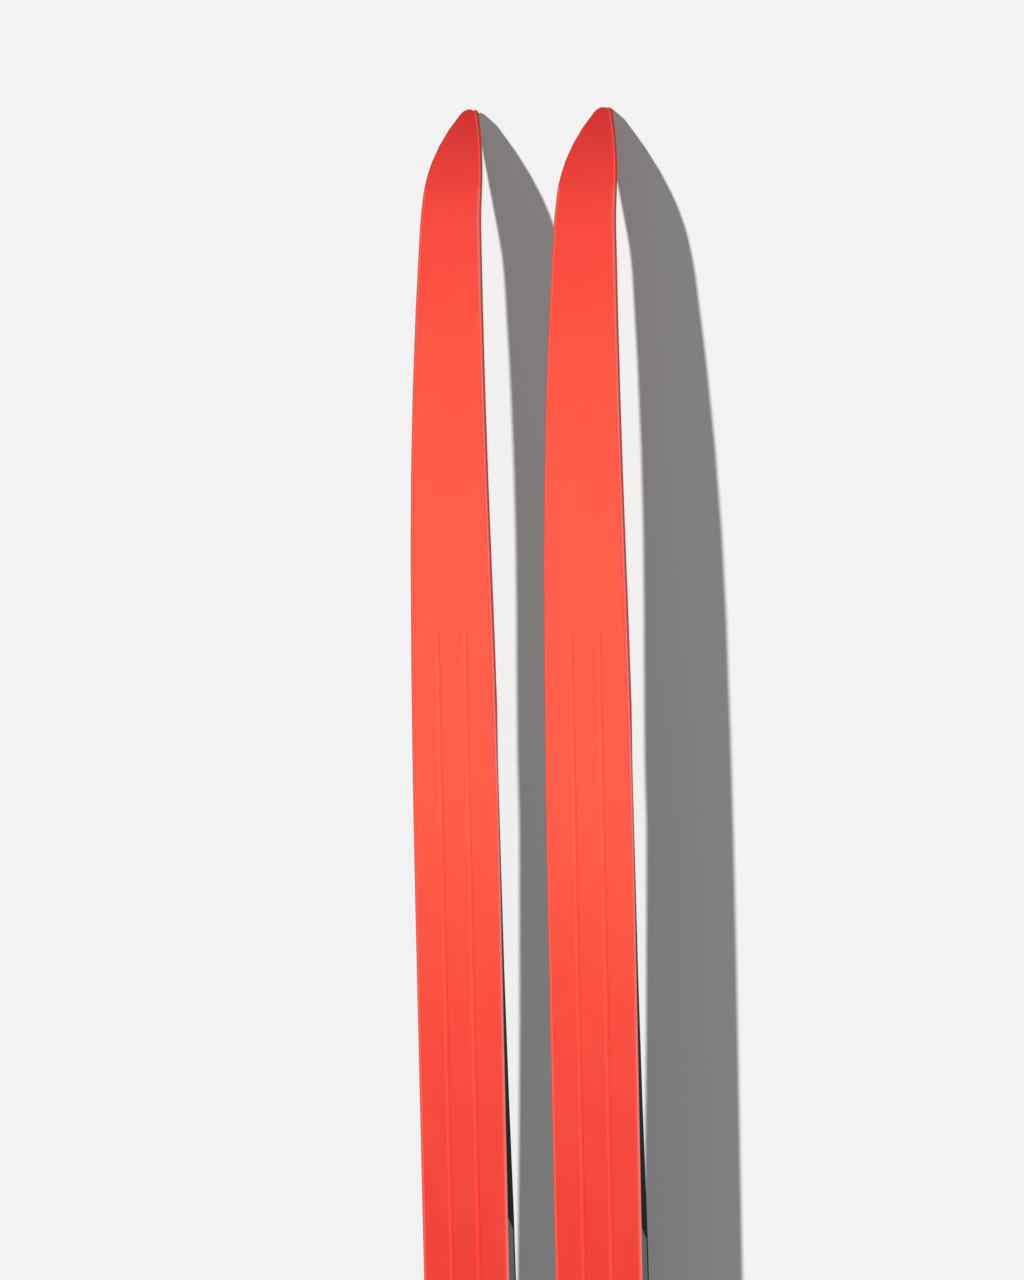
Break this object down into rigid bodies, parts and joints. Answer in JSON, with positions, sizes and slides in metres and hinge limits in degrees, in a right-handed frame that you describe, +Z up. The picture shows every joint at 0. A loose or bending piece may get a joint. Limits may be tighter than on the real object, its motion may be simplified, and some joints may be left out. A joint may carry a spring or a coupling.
{
  "type": "alpine skis with bindings",
  "caption": "Pair of long straight alpine skis with red grooved running bases, steel edges, black caps, riser plates and step-in bindings with brakes.",
  "frame": {"origin": "on the ground under the middle of the pair, halfway along the skis", "axes": "+Z up from the running bases, +Y along the skis from the tips to the tails, +X across, from the left ski to the right ski as seen from above with the tails towards +Y"},
  "size_m": [0.198, 2.18, 0.103],
  "materials": {
    "red_base": "waxed sintered polyethylene",
    "edge_steel": "ground",
    "wood": "planed",
    "laminate": "glass and resin",
    "cap": "satin black",
    "sidewall": "planed dark grey",
    "tail_plastic": "moulded",
    "riser": "moulded",
    "screw_steel": "zinc plated",
    "toe_alloy": "satin black",
    "housing": "moulded, fine texture",
    "pin_steel": "ground",
    "wing": "glass-filled",
    "spring_steel": "phosphated",
    "pointer": "turned",
    "afd": "low friction",
    "track_alloy": "anodised",
    "carriage": "satin black",
    "lever": "moulded",
    "bearing": "moulded",
    "pedal": "moulded",
    "brake_wire": "bright wire",
    "brake_foot": "moulded"
  },
  "bodies": {
    "left_ski": {"left_running_base": "red_base", "left_steel_edges": "edge_steel", "left_wood_core": "wood", "left_laminates": "laminate", "left_cap_topsheet": "cap", "left_sidewalls": "sidewall", "left_tail_protector": "tail_plastic", "left_riser_plate": "riser", "left_mounting_screws": "screw_steel", "left_toe_base": "toe_alloy", "left_toe_housing": "housing", "left_toe_pivot_pins": "pin_steel", "left_toe_spring": "spring_steel", "left_heel_track": "track_alloy", "left_brake_bearings": "bearing", "left_brake_spring": "spring_steel"},
    "left_toe_wing_left": {"left_toe_wing_left": "wing"},
    "left_toe_wing_right": {"left_toe_wing_right": "wing"},
    "left_toe_nut": {"left_toe_spring_nut": "pointer"},
    "left_toe_screw": {"left_toe_setting_screw": "screw_steel"},
    "left_afd": {"left_afd_plate": "afd"},
    "left_heel_carriage": {"left_heel_carriage": "carriage"},
    "left_heel_jaw": {"left_heel_jaw": "housing", "left_heel_pins": "pin_steel", "left_heel_spring": "spring_steel"},
    "left_heel_lever": {"left_heel_lever": "lever"},
    "left_heel_screw": {"left_heel_setting_screw": "screw_steel"},
    "left_brake": {"left_brake_pedal": "pedal", "left_brake_arms": "brake_wire", "left_brake_feet": "brake_foot"},
    "right_ski": {"right_running_base": "red_base", "right_steel_edges": "edge_steel", "right_wood_core": "wood", "right_laminates": "laminate", "right_cap_topsheet": "cap", "right_sidewalls": "sidewall", "right_tail_protector": "tail_plastic", "right_riser_plate": "riser", "right_mounting_screws": "screw_steel", "right_toe_base": "toe_alloy", "right_toe_housing": "housing", "right_toe_pivot_pins": "pin_steel", "right_toe_spring": "spring_steel", "right_heel_track": "track_alloy", "right_brake_bearings": "bearing", "right_brake_spring": "spring_steel"},
    "right_toe_wing_left": {"right_toe_wing_left": "wing"},
    "right_toe_wing_right": {"right_toe_wing_right": "wing"},
    "right_toe_nut": {"right_toe_spring_nut": "pointer"},
    "right_toe_screw": {"right_toe_setting_screw": "screw_steel"},
    "right_afd": {"right_afd_plate": "afd"},
    "right_heel_carriage": {"right_heel_carriage": "carriage"},
    "right_heel_jaw": {"right_heel_jaw": "housing", "right_heel_pins": "pin_steel", "right_heel_spring": "spring_steel"},
    "right_heel_lever": {"right_heel_lever": "lever"},
    "right_heel_screw": {"right_heel_setting_screw": "screw_steel"},
    "right_brake": {"right_brake_pedal": "pedal", "right_brake_arms": "brake_wire", "right_brake_feet": "brake_foot"}
  },
  "joints": [
    {"name": "left_toe_wing_left_release", "type": "hinge", "parent": "left_ski", "child": "left_toe_wing_left", "pos_m": [-0.067, -0.0585, 0.042], "axis": [0, 0, 1], "range_deg": [0, 30], "stiffness_Nm_per_rad": 1},
    {"name": "left_toe_wing_right_release", "type": "hinge", "parent": "left_ski", "child": "left_toe_wing_right", "pos_m": [-0.039, -0.0585, 0.042], "axis": [0, 0, 1], "range_deg": [-30, 0], "stiffness_Nm_per_rad": 1},
    {"name": "left_afd_shift", "type": "slide", "parent": "left_ski", "child": "left_afd", "axis": [1, 0, 0], "range_m": [-0.003, 0.003]},
    {"name": "left_toe_screw_turn", "type": "hinge", "parent": "left_ski", "child": "left_toe_screw", "pos_m": [-0.053, -0.1175, 0.04], "axis": [0, 1, 0], "range_deg": [0, 720]},
    {"name": "left_toe_nut_travel", "type": "slide", "parent": "left_ski", "child": "left_toe_nut", "axis": [0, 1, 0], "range_m": [-0.003, 0]},
    {"name": "left_heel_carriage_shift", "type": "slide", "parent": "left_ski", "child": "left_heel_carriage", "axis": [0, 1, 0], "range_m": [-0.015, 0.015]},
    {"name": "left_heel_jaw_open", "type": "hinge", "parent": "left_heel_carriage", "child": "left_heel_jaw", "pos_m": [-0.053, 0.3335, 0.046], "axis": [1, 0, 0], "range_deg": [-38, 0]},
    {"name": "left_heel_lever_press", "type": "hinge", "parent": "left_heel_jaw", "child": "left_heel_lever", "pos_m": [-0.053, 0.2955, 0.076], "axis": [1, 0, 0], "range_deg": [-10, 0]},
    {"name": "left_heel_screw_turn", "type": "hinge", "parent": "left_heel_jaw", "child": "left_heel_screw", "pos_m": [-0.053, 0.3375, 0.058], "axis": [0, 1, 0], "range_deg": [-360, 360]},
    {"name": "left_brake_swing", "type": "hinge", "parent": "left_ski", "child": "left_brake", "pos_m": [-0.053, 0.2435, 0.0284], "axis": [1, 0, 0], "range_deg": [-38, 14], "stiffness_Nm_per_rad": 0.6, "springref_deg": -34.38},
    {"name": "right_toe_wing_left_release", "type": "hinge", "parent": "right_ski", "child": "right_toe_wing_left", "pos_m": [0.039, -0.0585, 0.042], "axis": [0, 0, 1], "range_deg": [0, 30], "stiffness_Nm_per_rad": 1},
    {"name": "right_toe_wing_right_release", "type": "hinge", "parent": "right_ski", "child": "right_toe_wing_right", "pos_m": [0.067, -0.0585, 0.042], "axis": [0, 0, 1], "range_deg": [-30, 0], "stiffness_Nm_per_rad": 1},
    {"name": "right_afd_shift", "type": "slide", "parent": "right_ski", "child": "right_afd", "axis": [1, 0, 0], "range_m": [-0.003, 0.003]},
    {"name": "right_toe_screw_turn", "type": "hinge", "parent": "right_ski", "child": "right_toe_screw", "pos_m": [0.053, -0.1175, 0.04], "axis": [0, 1, 0], "range_deg": [0, 720]},
    {"name": "right_toe_nut_travel", "type": "slide", "parent": "right_ski", "child": "right_toe_nut", "axis": [0, 1, 0], "range_m": [-0.003, 0]},
    {"name": "right_heel_carriage_shift", "type": "slide", "parent": "right_ski", "child": "right_heel_carriage", "axis": [0, 1, 0], "range_m": [-0.015, 0.015]},
    {"name": "right_heel_jaw_open", "type": "hinge", "parent": "right_heel_carriage", "child": "right_heel_jaw", "pos_m": [0.053, 0.3335, 0.046], "axis": [1, 0, 0], "range_deg": [-38, 0]},
    {"name": "right_heel_lever_press", "type": "hinge", "parent": "right_heel_jaw", "child": "right_heel_lever", "pos_m": [0.053, 0.2955, 0.076], "axis": [1, 0, 0], "range_deg": [-10, 0]},
    {"name": "right_heel_screw_turn", "type": "hinge", "parent": "right_heel_jaw", "child": "right_heel_screw", "pos_m": [0.053, 0.3375, 0.058], "axis": [0, 1, 0], "range_deg": [-360, 360]},
    {"name": "right_brake_swing", "type": "hinge", "parent": "right_ski", "child": "right_brake", "pos_m": [0.053, 0.2435, 0.0284], "axis": [1, 0, 0], "range_deg": [-38, 14], "stiffness_Nm_per_rad": 0.6, "springref_deg": -34.38},
    {"name": "pair_shift", "type": "slide", "parent": "left_ski", "child": "right_ski", "axis": [0, 1, 0], "range_m": [-0.3, 0.3]}
  ],
  "couplings": [
    {"joint": "left_toe_screw_turn", "follows": "left_toe_nut_travel", "rad_per_m": -4188.8},
    {"joint": "left_heel_lever_press", "follows": "left_heel_jaw_open", "ratio": 0.25},
    {"joint": "right_toe_screw_turn", "follows": "right_toe_nut_travel", "rad_per_m": -4188.8},
    {"joint": "right_heel_lever_press", "follows": "right_heel_jaw_open", "ratio": 0.25}
  ]
}
